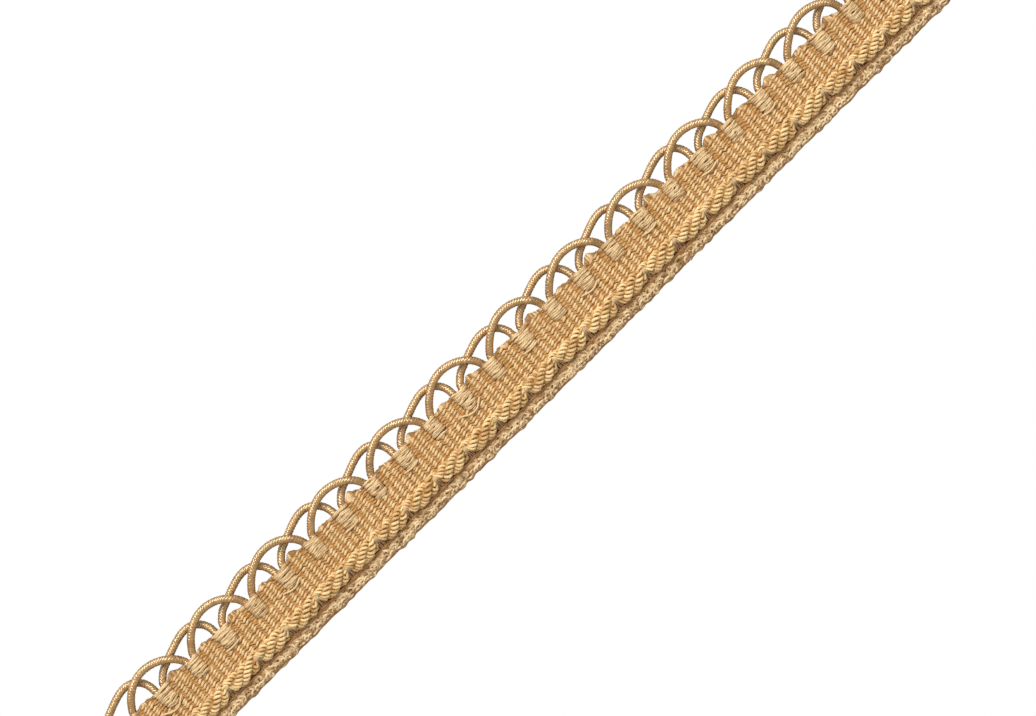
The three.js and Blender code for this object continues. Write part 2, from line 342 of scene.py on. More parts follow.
# Between which heights of its wave, from -1 to 1, a warp stands up, spreads and grows light in painted light
WARP_STANDS = (0.1, 1)
WARP_SPREADS = (0.2, 0.9)
WARP_PAINTED_LIGHT_SPAN = (0.35, 0.95)
# The painted light over a rib, and the painted shade that keeps it darker under one
WARP_OVER_PAINTED_LIGHT = 0.85
WARP_UNDER_PAINTED_LIGHT = 0.3
# A sway is how far a yarn strays and over what length, and patches are the same for its tone
WARP_SWAY = (0.3, 2.2)
WARP_HEAVE = (0.12, 3.0)
WARP_PATCHES = (0.5, 1.3)
# The upper rows lie only in the gaps between the bindings, and slope down at both their ends
BINDING_FOOT = 0.1
GAP_START = 2.15
GAP_CREST_SPACING = 1.74
GAP_RUN_STEPS = 14
SLOPE_DROP = 0.38
SLOPE_REACH = (1.2, 2.6)
SLOPE_CALM = 0.4
CALM_REACH = (1.3, 1.9)
YARN_SIDES = 6
FIBRE = 0.12
FIBRE_TONE = 0.4
FIBRE_RELIEF = 0.3
# Painted shade in the grooves between the plies, and how softly the painted side shade rounds over a crest
GROOVE_SHADE = 0.3
CREST_ROUNDING = 0.2
NOISE_APART = 7.3
PLY_RELIEF = 0.05
YARN_SHADE = (0.50, 0.255, 0.075, 1)
YARN_LIGHT = (0.84, 0.61, 0.33, 1)


class Yarns:
    """Centre-lines of yarn in millimetres, gathered until they are spun into one piece."""

    def __init__(self):
        self.points = []
        self.lines = []
        self.values = {"thickness": [], "along": [], "tone": []}
        self.outward = []

    def lay(self, points, radius, tone, outward=(0, 0, 1)):
        """Lays one yarn. The radius, the tone from dark to light, and the way out of the trim may vary."""
        count = len(points)
        first = len(self.points)
        along = 0
        for number, point in enumerate(points):
            if number:
                along += (Vector(point) - Vector(points[number - 1])).length
            self.values["along"].append(along)
            self.points.append(tuple(point))
        self.lines += [(first + number, first + number + 1) for number in range(count - 1)]
        self.values["thickness"] += radius if isinstance(radius, list) else [radius] * count
        self.values["tone"] += tone if isinstance(tone, list) else [tone] * count
        self.outward += outward if isinstance(outward, list) else [outward] * count

    def spin(self, sides=YARN_SIDES):
        """Gives every line a round section with this many sides, and closes its ends."""
        wire = bpy.data.meshes.new("centre_lines")
        wire.from_pydata(self.points, self.lines, [])
        for name, values in self.values.items():
            wire.attributes.new(name, "FLOAT", "POINT").data.foreach_set("value", values)
        flat_outward = [value for vector in self.outward for value in vector]
        wire.attributes.new("outward", "FLOAT_VECTOR", "POINT").data.foreach_set("vector", flat_outward)
        lines = bpy.data.objects.new("centre_lines", wire)
        bpy.context.scene.collection.objects.link(lines)
        lines.modifiers.new("spinning", "NODES").node_group = spinning_nodes(sides)
        spun = bpy.data.meshes.new_from_object(lines.evaluated_get(bpy.context.evaluated_depsgraph_get()))
        bpy.data.objects.remove(lines)
        bpy.data.meshes.remove(wire)
        return spun


@cache
def spinning_nodes(sides):
    """Nodes that turn lines into tubes as thick as the lines say, and store how far each point of the
    surface looks outward, and where it lies around its own yarn."""
    tree = bpy.data.node_groups.new("spinning", "GeometryNodeTree")
    for way in ("INPUT", "OUTPUT"):
        tree.interface.new_socket("Geometry", in_out=way, socket_type="NodeSocketGeometry")

    def named(name, data_type):
        node = tree.nodes.new("GeometryNodeInputNamedAttribute")
        node.data_type = data_type
        node.inputs["Name"].default_value = name
        return node.outputs["Attribute"]

    def stored(geometry, name, data_type, value):
        node = tree.nodes.new("GeometryNodeStoreNamedAttribute")
        node.data_type = data_type
        node.inputs["Name"].default_value = name
        plug(tree, geometry, node.inputs["Geometry"])
        plug(tree, value, node.inputs["Value"])
        return node.outputs["Geometry"]

    curves = tree.nodes.new("GeometryNodeMeshToCurve")
    plug(tree, tree.nodes.new("NodeGroupInput").outputs[0], curves.inputs[0])
    section = tree.nodes.new("GeometryNodeCurvePrimitiveCircle")
    section.inputs["Resolution"].default_value = sides
    section.inputs["Radius"].default_value = 1
    place = tree.nodes.new("GeometryNodeInputPosition").outputs[0]
    marked_section = stored(section.outputs["Curve"], "around", "FLOAT_VECTOR", place)
    tubes = tree.nodes.new("GeometryNodeCurveToMesh")
    plug(tree, curves.outputs[0], tubes.inputs["Curve"])
    plug(tree, marked_section, tubes.inputs["Profile Curve"])
    plug(tree, named("thickness", "FLOAT"), tubes.inputs["Scale"])
    tubes.inputs["Fill Caps"].default_value = True
    facing = tree.nodes.new("ShaderNodeVectorMath")
    facing.operation = "DOT_PRODUCT"
    plug(tree, tree.nodes.new("GeometryNodeInputNormal").outputs[0], facing.inputs[0])
    plug(tree, named("outward", "FLOAT_VECTOR"), facing.inputs[1])
    finished = stored(tubes.outputs[0], "facing", "FLOAT", facing.outputs["Value"])
    plug(tree, finished, tree.nodes.new("NodeGroupOutput").inputs[0])
    return tree


def plied_yarn_group():
    """Plied yarn: painted shade makes it darker deep in the cloth and in the grooves between its plies, and
    painted light makes it lighter on its crests.
    """
    group = bpy.data.node_groups.new("plied_yarn", "ShaderNodeTree")
    for name in ("Shade", "Light"):
        group.interface.new_socket(name, in_out="INPUT", socket_type="NodeSocketColor")
    for name in ("Plies", "Ply Length", "Depth"):
        group.interface.new_socket(name, in_out="INPUT", socket_type="NodeSocketFloat")
    for name, kind in (("Color", "Color"), ("Height", "Float")):
        group.interface.new_socket(name, in_out="OUTPUT", socket_type="NodeSocket" + kind)
    given = group.nodes.new("NodeGroupInput").outputs
    result = group.nodes.new("NodeGroupOutput").inputs

    def stored(name, output="Fac"):
        node = group.nodes.new("ShaderNodeAttribute")
        node.attribute_name = name
        return node.outputs[output]

    around = group.nodes.new("ShaderNodeSeparateXYZ")
    plug(group, stored("around", "Vector"), around.inputs[0])
    angle = maths(group, "ARCTAN2", around.outputs[1], around.outputs[0])
    turned = maths(group, "DIVIDE", maths(group, "MULTIPLY", stored("along"), math.pi), given["Ply Length"])
    half_turns = maths(group, "MULTIPLY", maths(group, "MULTIPLY", angle, given["Plies"]), 0.5)
    ply = maths(group, "ABSOLUTE", maths(group, "SINE", maths(group, "ADD", turned, half_turns)))
    fibres = flecks(group, FIBRE)
    # Painted shade: darker where the surface turns away from the way out of the trim, and in the grooves
    # between plies
    facing = maths(group, "SMOOTH_MIN", maths(group, "MAXIMUM", stored("facing"), 0), 1, CREST_ROUNDING)
    turned_away = maths(group, "SUBTRACT", 1, facing)
    painted_side_shading = maths(group, "SUBTRACT", 1, maths(group, "MULTIPLY", turned_away, given["Depth"]))
    painted_groove_shade = maths(group, "MULTIPLY_ADD", ply, GROOVE_SHADE, 1 - GROOVE_SHADE)
    share = maths(group, "MULTIPLY", maths(group, "MULTIPLY", stored("tone"), painted_side_shading), painted_groove_shade)
    fibre_tone = maths(group, "MULTIPLY_ADD", fibres, FIBRE_TONE, -FIBRE_TONE / 2)
    speckled = maths(group, "ADD", share, fibre_tone)
    plug(group, blend_colours(group, speckled, given["Shade"], given["Light"]), result["Color"])
    plug(group, maths(group, "MULTIPLY_ADD", fibres, FIBRE_RELIEF, ply), result["Height"])
    return group


PLIED_YARN = plied_yarn_group()


def plied_finish(name, shade, light, plies, ply_length, depth, roughness=0.55, gloss=0.5, **silk):
    """A yarn of this many plies; depth is how much painted shade darkens its sides against its crest. A silky
    yarn has an index and a sheen of its own too."""
    material, tree, shader, bump = yarn_finish(name, roughness, gloss, **silk)
    yarn = tree.nodes.new("ShaderNodeGroup")
    yarn.node_tree = PLIED_YARN
    yarn.inputs["Shade"].default_value = shade
    yarn.inputs["Light"].default_value = light
    yarn.inputs["Plies"].default_value = plies
    yarn.inputs["Ply Length"].default_value = ply_length
    yarn.inputs["Depth"].default_value = depth
    plug(tree, yarn.outputs["Color"], shader.inputs["Base Color"])
    plug(tree, yarn.outputs["Height"], bump.inputs["Height"])
    bump.inputs["Distance"].default_value = PLY_RELIEF * MM
    return material


def wander(x, own, sway):
    """How far a yarn has strayed at x, as hand-fed yarn does. Its own number sets its course apart from
    those of the other yarns."""
    reach, length = sway
    return reach * noise.noise(Vector((x / length, own * NOISE_APART, 0.5)))


def along_trim(steps):
    """Even places along the trim from end to end."""
    return [LENGTH * (step / steps - 0.5) for step in range(steps + 1)]


def warp_height(wave):
    """A warp stands up in a short crest over its rib, and dips only a little under the next one."""
    return WARP_CREST * rise(wave, *WARP_STANDS) - WARP_TROUGH * max(-wave, 0)


def warp_tone(wave, row, x):
    """Painted light over each rib and painted shade, brown, between the ribs and under them, and a little
    different from float to float.
    """
    painted_rib_light = WARP_OVER_PAINTED_LIGHT if wave > 0 else WARP_UNDER_PAINTED_LIGHT
    return rise(abs(wave), *WARP_PAINTED_LIGHT_SPAN) * painted_rib_light + wander(x, row + 40, WARP_PATCHES)


def gap_course(row, number):
    """The course of an upper warp in the gap after a binding, as far as it lies on the trim."""
    course = []
    for step in range(GAP_RUN_STEPS + 1):
        past = GAP_START + step / GAP_RUN_STEPS * (PITCH - 2 * GAP_START)
        x = binding_x(number) + past
        aside = past - PITCH / 2
        phase = math.pi * (aside / GAP_CREST_SPACING + 0.5 + number + row)
        if abs(x) <= LENGTH / 2:
            course.append((x, phase, aside))
    return course


def warp_courses(row):
    """The runs of a warp, each given as its places along the trim, the phase of its wave there, and how
    far aside of the gap's middle it is. Below the bindings a warp runs from end to end without a slope."""
    if LOWEST_WARP + row * WARP_PITCH < BINDING_FOOT:
        places = along_trim(REPEATS * RIBS_PER_REPEAT * WARP_STEPS_PER_RIB)
        return [[(x, math.pi * ((x - binding_x(0)) / RIB + row), 0) for x in places]]
    return [gap_course(row, number) for number in range(-1, REPEATS)]


def lay_warp(row, course):
    """Lays one run of a warp, which swells on its crests."""
    points = []
    radii = []
    tones = []
    for x, phase, aside in course:
        level = 1 - rise(abs(aside), *SLOPE_REACH)
        wave = math.cos(phase) * (1 - SLOPE_CALM * rise(abs(aside), *CALM_REACH))
        slant = WARP_SLANT * math.sin(2 * phase) * level
        y = LOWEST_WARP + row * WARP_PITCH + slant + wander(x, row, WARP_SWAY)
        z = WARP_LEVEL - SLOPE_DROP * (1 - level) + warp_height(wave) + wander(x, row + 20, WARP_HEAVE)
        points.append((x, y, z))
        radii.append(WARP_RADIUS + WARP_SWELL * rise(wave, *WARP_SPREADS))
        tones.append(warp_tone(wave, row, x))
    warps.lay(points, radii, tones)


heading_yarn = plied_finish("heading_yarn", YARN_SHADE, YARN_LIGHT, plies=2, ply_length=0.45, depth=0.35)
warps = Yarns()
for row in WARP_ROWS:
    for course in warp_courses(row):
        if len(course) > 1:
            lay_warp(row, course)
heading_warps = finished_piece("heading_warps", warps.spin(), heading_yarn, "ground_yarn")


# Heading edge: the weft turns back over the outermost warp in small loops, side by side. Beside the
# right leg of each turn of gimp they are pulled out in a peak, higher by the back cord than the front.
WEFT_RADIUS = 0.22
LOOP_PITCH = 0.4
LOOP_FOOT = 4.75
# The share of the way from the loop's foot to its tip, out from there, up, and how uneven that is
LOOP_ROUTE = [
    (0, 0, 1.95, 0), (0.5, 0, 2.05, 0.5), (1, -0.2, 1.85, 0.5), (1, 0, 1.6, 0), (1, -0.15, 1.0, 0),
    (0, 0, 0.8, 0),
]
LOOP_UNEVEN_OVER = 0.7
LOOP_STEPS = 2
LOOP_SWAY = (0.35, 0.9)
LOOP_TONE = 0.35
LOOP_PATCHES = (2.4, 0.6)
LOOP_OUTWARD = (0, 0.35, 0.94)
PEAK_GATHERING = 0.2
EDGE_SHADE = (0.38, 0.19, 0.06, 1)
EDGE_LIGHT = (0.88, 0.64, 0.35, 1)


def smooth_line(points, steps):
    """A smooth curve through all the points, with this many steps between two of them. It doesn't bulge
    where their distances differ."""
    before = points[0] * 2 - points[1]
    after = points[-1] * 2 - points[-2]
    padded = [before] + points + [after]
    line = []
    for a, b, c, d in zip(padded, padded[1:], padded[2:], padded[3:]):
        gaps = [max((q - p).length, 1e-6) ** 0.5 for p, q in ((a, b), (b, c), (c, d))]
        leave = ((b - a) / gaps[0] - (c - a) / (gaps[0] + gaps[1]) + (c - b) / gaps[1]) * gaps[1]
        arrive = ((c - b) / gaps[1] - (d - b) / (gaps[1] + gaps[2]) + (d - c) / gaps[2]) * gaps[1]
        for step in range(steps):
            t = step / steps
            line.append(
                b * (2 * t ** 3 - 3 * t ** 2 + 1) + leave * (t ** 3 - 2 * t ** 2 + t)
                + c * (3 * t ** 2 - 2 * t ** 3) + arrive * (t ** 3 - t ** 2)
            )
    line.append(points[-1])
    return line


def loop_points(foot, tip):
    """One loop of weft, over the outermost warp to its tip and back underneath."""
    edge = heading_edge_y(tip) + wander(foot, 3, LOOP_SWAY)
    points = []
    for corner, (share, out, up, unevenness) in enumerate(LOOP_ROUTE):
        x = foot * (1 - share) + tip * share
        y = LOOP_FOOT * (1 - share) + edge * share + out
        points.append(Vector((x, y, up + wander(foot, 6 + corner, (unevenness, LOOP_UNEVEN_OVER)))))
    return points


edge_yarn = plied_finish("edge_yarn", EDGE_SHADE, EDGE_LIGHT, plies=2, ply_length=0.45, depth=0.5)
weft = Yarns()
loops_in_gap = round((PITCH - 2 * GAP_START) / LOOP_PITCH) + 1
for number in range(-1, REPEATS):
    for loop in range(loops_in_gap):
        foot = binding_x(number) + GAP_START + loop * LOOP_PITCH
        from_peak = foot - binding_x(number) - PEAK_ALONG
        tip = foot - PEAK_GATHERING * from_peak * swelling(from_peak, PEAK_REACH[1])
        if abs(foot) <= LENGTH / 2 - WEFT_RADIUS:
            tone = LOOP_TONE + wander(foot, 5, LOOP_PATCHES)
            weft.lay(smooth_line(loop_points(foot, tip), LOOP_STEPS), WEFT_RADIUS, tone, LOOP_OUTWARD)
heading_edge = finished_piece("heading_edge", weft.spin(), edge_yarn, "ground_yarn")


# Gimp cords: a core wound closely with fine silky yarn. Each cord lies in turns inside the heading and
# in arches beyond it, and the front cord's arches pass over the back cord's.
GIMP_RADIUS = 1.05
TURN_RADIUS = 1.2
TURN_FOOT = 1.5
TURN_STEPS = 5
TURN_HEIGHT = 1.55
LEG_TOP = 4.7
ARCH_BASE = 5.5
ARCH_UNEVEN_HEIGHT = 0.05
ARCH_LEAN = 0.07
ARCH_UNEVEN_LEAN = 0.06
# Along from the arch's middle, out from the heading's edge, and the share of the rise to its height
FRONT_ARCH = [
    (-9.1, 0.3, 0), (-8.1, 1.7, 0.3), (-6.7, 3.15, 0.75), (-5.0, 4.45, 1), (-3.2, 5.4, 1), (-1.0, 5.95, 1),
    (1.2, 5.95, 1), (3.4, 5.45, 1), (5.4, 4.55, 1), (7.1, 3.3, 1), (8.3, 1.95, 0.5), (9.1, 0.3, 0),
]
BACK_ARCH = [
    (-9.1, 0.3, 0), (-8.1, 1.6, 0.5), (-6.7, 2.75, 0.9), (-5.0, 3.5, 1), (-2.6, 4.5, 1), (-0.2, 5.4, 1),
    (2.4, 6.0, 1), (4.6, 5.9, 1), (6.3, 5.15, 1), (7.6, 4.0, 1), (8.4, 2.8, 0.7), (8.9, 1.5, 0.3),
    (9.1, 0.3, 0),
]
FRONT_ARCH_HEIGHT = 3.5
BACK_ARCH_HEIGHT = 1.1
ROUTE_STEPS = 10
WRAP_STRANDS = 4
WRAP_LEAD = 2.9
WRAP_STEPS = 12
WRAP_RADIUS = 0.6
WRAP_SIDES = 8
# The tone on top of the cord, and the painted shade that darkens it on the way down its sides, from -1 on top
# to 0
WRAP_TONE = 0.95
WRAP_PAINTED_SIDE_SHADE = 0.6
WRAP_PAINTED_SIDE_REACH = (-0.9, -0.2)
# The painted light that it wins inside the heading, against the shade beside the bindings, and from where to
# where in from the edge
WRAP_HELD_PAINTED_LIGHT = 0.6
WRAP_HELD_REACH = (-0.5, 0.8)
WRAP_SPECKLE = 0.35
WRAP_PATCHES = (0.4, 5)
GIMP_SHADE = (0.12, 0.045, 0.008, 1)
GIMP_LIGHT = (0.54, 0.285, 0.10, 1)
GIMP_ROUGHNESS = 0.25
GIMP_GLOSS = 1.0
GIMP_INDEX = 2.15
GIMP_SHEEN = (1.0, 0.82, 0.52, 1)


def turn_points(x):
    """One turn inside the heading, from the foot of its left leg to the foot of its right leg."""
    points = []
    for step in range(TURN_STEPS + 1):
        angle = math.pi * (1 + step / TURN_STEPS)
        y = TURN_FOOT + TURN_RADIUS + TURN_RADIUS * math.sin(angle)
        points.append(Vector((x + TURN_RADIUS * math.cos(angle), y, TURN_HEIGHT)))
    return points


def arch_points(number, table, height):
    """One arch beyond the heading's edge, with the straight legs at both its ends."""
    middle = binding_x(number + 1)
    reach = PITCH - TURN_RADIUS
    points = [Vector((middle - reach, LEG_TOP, TURN_HEIGHT))]
    for along, out, lift in table:
        lean = out * (ARCH_LEAN + ARCH_UNEVEN_LEAN * uneven(number, 2.1))
        far = out * (1 + ARCH_UNEVEN_HEIGHT * uneven(number, 0.7))
        z = TURN_HEIGHT + (height - TURN_HEIGHT) * lift
        points.append(Vector((middle + along + lean, ARCH_BASE + far, z)))
    points.append(Vector((middle + reach, LEG_TOP, TURN_HEIGHT)))
    return points


def gimp_route(first, table, height):
    """The middle of a whole cord, which turns under every second binding from the first one given."""
    points = []
    for number in range(first, REPEATS, 2):
        points += turn_points(binding_x(number))
        if number + 2 < REPEATS:
            points += arch_points(number, table, height)
    return points


def even_line(line, spacing):
    """The same line with its points this far apart."""
    points = [line[0]]
    left = spacing
    for start, end in zip(line, line[1:]):
        length = (end - start).length
        done = 0
        while length - done >= left:
            done += left
            points.append(start.lerp(end, done / length))
            left = spacing
        left -= length - done
    return points


def lay_gimp(name, first, table, height, seed):
    """Winds the wrapping yarns round the core of one cord, all along its route."""
    line = even_line(smooth_line(gimp_route(first, table, height), ROUTE_STEPS), WRAP_LEAD / WRAP_STEPS)
    sides = []
    for before, after in zip(line[:1] + line, line[1:] + line[-1:]):
        side = Vector((0, 0, 1)).cross(after - before).normalized()
        sides.append((side, (after - before).cross(side).normalized()))
    draw = Random(seed)
    cord = Yarns()
    for strand in range(WRAP_STRANDS):
        points = []
        ways = []
        tones = []
        for number, (point, (side, up)) in enumerate(zip(line, sides)):
            angle = -2 * math.pi * (number / WRAP_STEPS + strand / WRAP_STRANDS)
            way = side * math.cos(angle) + up * math.sin(angle)
            points.append(point + way * (GIMP_RADIUS - WRAP_RADIUS))
            ways.append(tuple(way))
            # Painted shade darkens the cord down its sides, and painted light lifts it inside the heading
            tone = WRAP_TONE - WRAP_PAINTED_SIDE_SHADE * rise(-way.z, *WRAP_PAINTED_SIDE_REACH)
            tone += WRAP_HELD_PAINTED_LIGHT * rise(HEADING_EDGE - point.y, *WRAP_HELD_REACH)
            tone += wander(number, strand + seed, WRAP_PATCHES)
            tones.append(tone + draw.uniform(-WRAP_SPECKLE, WRAP_SPECKLE))
        cord.lay(points, WRAP_RADIUS, tones, ways)
    finished_piece(name + "_cord", cord.spin(WRAP_SIDES), gimp_finish, "gimp_wrap", name)


gimp_finish = plied_finish(
    "gimp_wrapping", GIMP_SHADE, GIMP_LIGHT, plies=2, ply_length=0.5, depth=1.5,
    roughness=GIMP_ROUGHNESS, gloss=GIMP_GLOSS, index=GIMP_INDEX, sheen=GIMP_SHEEN,
)
lay_gimp("gimp_back", 0, BACK_ARCH, BACK_ARCH_HEIGHT, 1)
lay_gimp("gimp_front", 1, FRONT_ARCH, FRONT_ARCH_HEIGHT, 2)


# Bindings: parallel floats of cream yarn over each turn of gimp, which hold it down in its pocket. Each
# is one yarn or a close pair. They get shorter towards the foot, most of all over the back cord, and some
# part in a dark slit.
BINDING_TOP = 5.35
BINDING_DEPTHS = {"back": 5.45, "front": 5.3}
FLOAT_REACHES = {
    "back": [2.35, 2.3, 2.2, 2.15, 2.1, 2.0, 1.8],
    "front": [1.95, 1.95, 2.0, 2.0, 2.0, 2.05, 2.05],
}
YARNS_IN_FLOAT = (1, 2, 2)
FLOAT_THICKNESS = 0.66
PAIR_SQUEEZE = 0.12
# Share of the reach from the binding's middle, and the height there
FLOAT_ARCH = [
    (-1.02, 1.8), (-0.96, 2.2), (-0.83, 2.65), (-0.6, 2.95), (-0.3, 3.1), (0, 3.15),
    (0.3, 3.1), (0.6, 2.95), (0.83, 2.65), (0.96, 2.2), (1.02, 1.8),
]
FLOAT_STEPS = 2
FLOAT_ENDS = (0.88, 1.08)
FLOAT_SAGS = {"back": 0.25, "front": 0.05}
FOOT_DROP = 0.6
FLOAT_SWAY = (0.3, 1.7)
FLOAT_YARN_SWAY = (0.12, 1.2)
FLOAT_HEAVE = (0.3, 2.1)
# A slit opens after one of the middle floats, and those to both sides of it give way
SLITS = {"back": 0.1, "front": 0.3}
SLIT_SIZES = (0.4, 1.3)
SLIT_AFTER = (2, 3, 3)
SLIT_PLACES = (-0.3, 0.5)
SLIT_HALF_WIDTH = 0.6
SLIT_FADE = 2.5
FLOAT_TONE = 1.0
FLOAT_TONE_SPREAD = (-0.3, 0.1)
FLOAT_PATCHES = (0.8, 0.9)
# Painted shade where a float dives down at its ends into the cloth, and on the lowest floats at the foot
FLOAT_END_PAINTED_SHADE = 0.25
FLOAT_END_REACH = (0.7, 1.02)
FOOT_PAINTED_SHADE = 0.3
BINDING_SHADE = (0.40, 0.225, 0.085, 1)
BINDING_LIGHT = (0.81, 0.585, 0.32, 1)


def binding_floats(number, draw):
    """The floats of one binding, laid from the heading's edge down."""
    middle = binding_x(number)
    cord = cord_under(number)
    yarns_each = [draw.choice(YARNS_IN_FLOAT) for reach in FLOAT_REACHES[cord]]
    pitch = BINDING_DEPTHS[cord] / sum(yarns_each)
    slit_after = draw.choice(SLIT_AFTER)
    slit = SLITS[cord] * draw.uniform(*SLIT_SIZES)
    slit_along = draw.uniform(*SLIT_PLACES)
    rows = [(count, yarn) for count, yarns in enumerate(yarns_each) for yarn in range(yarns)]
    top = BINDING_TOP
    floats = Yarns()
    for row, (count, yarn) in enumerate(rows):
        own = number * 20 + row
        reach = FLOAT_REACHES[cord][count]
        left = reach * draw.uniform(*FLOAT_ENDS)
        right = reach * draw.uniform(*FLOAT_ENDS)
        shade = draw.uniform(*FLOAT_TONE_SPREAD)
        down = row / (len(rows) - 1)
        squeeze = PAIR_SQUEEZE * pitch * (yarns_each[count] - 1) * (1 if yarn else -1)
        row_y = top - pitch / 2 + squeeze
        top -= pitch
        parting = slit if count <= slit_after else -slit
        parting *= 1 - min(abs(count - slit_after - 0.5) / SLIT_FADE, 1)
        points = []
        for share, height in FLOAT_ARCH:
            along = share * (right if share > 0 else left)
            opening = parting * swelling(along - slit_along, SLIT_HALF_WIDTH)
            sag = FLOAT_SAGS[cord] * down ** 2 * (1 - share ** 2)
            sway = wander(along, number * 10 + count, FLOAT_SWAY) + wander(along, own, FLOAT_YARN_SWAY)
            z = height - FOOT_DROP * down ** 3 + wander(along, own + 600, FLOAT_HEAVE)
            points.append(Vector((middle + along, row_y + opening - sag + sway, z)))
        line = smooth_line(points, FLOAT_STEPS)
        tones = []
        for point in line:
            patch = wander(point.x - middle, own + 900, FLOAT_PATCHES)
            # Painted shade at the float's ends and on the lowest floats
            end = rise(abs(point.x - middle) / reach, *FLOAT_END_REACH)
            tones.append(FLOAT_TONE + shade + patch - FLOAT_END_PAINTED_SHADE * end - FOOT_PAINTED_SHADE * down ** 4)
        floats.lay(line, pitch * FLOAT_THICKNESS, tones)
    return floats


binding_yarn = plied_finish("binding_yarn", BINDING_SHADE, BINDING_LIGHT, plies=3, ply_length=0.7, depth=0.45)
float_draw = Random(3)
for number, node in enumerate(binding_nodes):
    floats = binding_floats(number, float_draw)
    finished_piece(node.replace("binding", "floats"), floats.spin(), binding_yarn, "binding_yarn", node)


# Loose floats: under each back binding a pale yarn of the heading lies loose, now nearly straight and
# short, now in a long hanging curve.
LOOSE_RADIUS = 0.27
LOOSE_TONE = 1.0
LOOSE_ACROSS = 0.1
SHORTEST_LOOSE = 0.62
LEAST_HANG = 0.15
LOOSE_STEPS = 3
# Along from the binding's middle, down the heading, and up
LOOSE_CURVE = [
    (-4.5, 0.0, 2.2), (-3.7, 0.1, 2.6), (-3.0, 0.45, 2.7), (-2.0, 0.95, 2.75), (-0.8, 1.15, 2.8),
    (0.5, 1.05, 2.8), (1.4, 0.6, 2.8), (2.3, 0.0, 2.7), (2.9, -0.3, 2.3),
]


def from_least(least, share):
    """Grows from the least at a share of 0 to 1 at a share of 1."""
    return least + (1 - least) * share


loose_draw = Random(8)
loose = Yarns()
for number in range(0, REPEATS, 2):
    slack = loose_draw.uniform(0, 1) ** 2
    long = from_least(SHORTEST_LOOSE, slack)
    points = []
    for along, down, z in LOOSE_CURVE:
        x = binding_x(number) + along * long
        if abs(x) < LENGTH / 2:
            points.append(Vector((x, LOOSE_ACROSS - down * (LEAST_HANG + slack), z)))
    loose.lay(smooth_line(points, LOOSE_STEPS), LOOSE_RADIUS, LOOSE_TONE)
loose_floats = finished_piece("loose_floats", loose.spin(), binding_yarn, "ground_yarn")


# Rope: three thick strands laid together and pressed somewhat flat, each of two hard-twisted yarns, whose
# turns show as short grains across the strand. A tie in each repeat draws in its lip side.
ROPE_CENTRE = -6.85
ROPE_LEVEL = 2.55
ROPE_FLATNESS = 0.53
ROPE_HALF_WIDTH = 2.45
ROPE_LAY = -5.6
ROPE_STRANDS = 3
STRAND_PLACE = 1.3
STRAND_YARNS = 2
STRAND_TWIST_SHIFT = 0.37
YARN_PLACE = 0.7
YARN_THICKNESS = 0.44
YARN_LEAD = 1.9
YARN_STEPS = 10
# A yarn's side in painted light looks out of its strand, and by this much also out of the rope, and its other
# sides are in painted shade
ROPE_OUTWARD = 0.5
# Yarns of the darkest tone, as painted shade, fill the rope's inside: across the round rope, up, and radius
FILLINGS = [(0, 0, 0.9), (1.8, -0.8, 0.5)]
FILLING_SHADE_TONE = 0.0
FILLING_STEPS = 9
# A tie lies a little past its binding, and these shares of the girth, height and yarns are left under it
ROPE_TIE_SHIFT = 1.7
TIE_TIGHTNESS = {"back": 0.42, "front": 0.5}
TIE_HEIGHT = 0.5
TIE_YARN = 0.45
TIE_FILLING = 0.3
TIE_DRAW_DOWN = 0.4
# Along from a tie, and the share of its slack that the rope has won back there
ROPE_PUFF = [(0, 0), (0.5, 0.25), (1.5, 0.88), (3, 1), (7.4, 1), (9.0, 0.85), (10.0, 0.2), (10.5, 0)]
LAY_SWAY = (0.5, 6)
TWIST_SWAY = (1.5, 4)
# Painted light on the crest of each turn of a yarn, over the tone of its sides in painted shade
GRAIN_SIDE_TONE = 0.43
GRAIN_CREST_PAINTED_LIGHT = 0.55
GRAIN_NARROWNESS = 0.7
GRAIN_PATCHES = (1.0, 1.3)
ROPE_SHADE = (0.42, 0.205, 0.055, 1)
ROPE_LIGHT = (0.90, 0.66, 0.33, 1)


def rope_girth(x):
    """The share of its full girth that the rope's lip side has at x, drawn in at each tie."""
    tie = math.floor((x - binding_x(0) - ROPE_TIE_SHIFT) / PITCH)
    past = x - binding_x(tie) - ROPE_TIE_SHIFT
    tight = [TIE_TIGHTNESS[cord_under(number)] for number in (tie, tie + 1)]
    for (start, low), (end, high) in zip(ROPE_PUFF, ROPE_PUFF[1:]):
        if past <= end:
            slack = low + (high - low) * rise(past, start, end)
            return from_least(tight[0] if past < PITCH / 2 else tight[1], slack)
    return tight[1]


def rope_place(x, across, up):
    """Where a point of the round rope comes to lie at x, once it is pressed, and drawn up to the heading
    and down by the ties."""
    girth = rope_girth(x)
    from_heading = (ROPE_HALF_WIDTH - across) * girth
    height = up * ROPE_FLATNESS * from_least(TIE_HEIGHT, girth) - TIE_DRAW_DOWN * (1 - girth)
    return Vector((x, ROPE_CENTRE + ROPE_HALF_WIDTH - from_heading, ROPE_LEVEL + height))


def within(x):
    """The nearest place to x that is on the trim."""
    return min(max(x, -LENGTH / 2), LENGTH / 2)


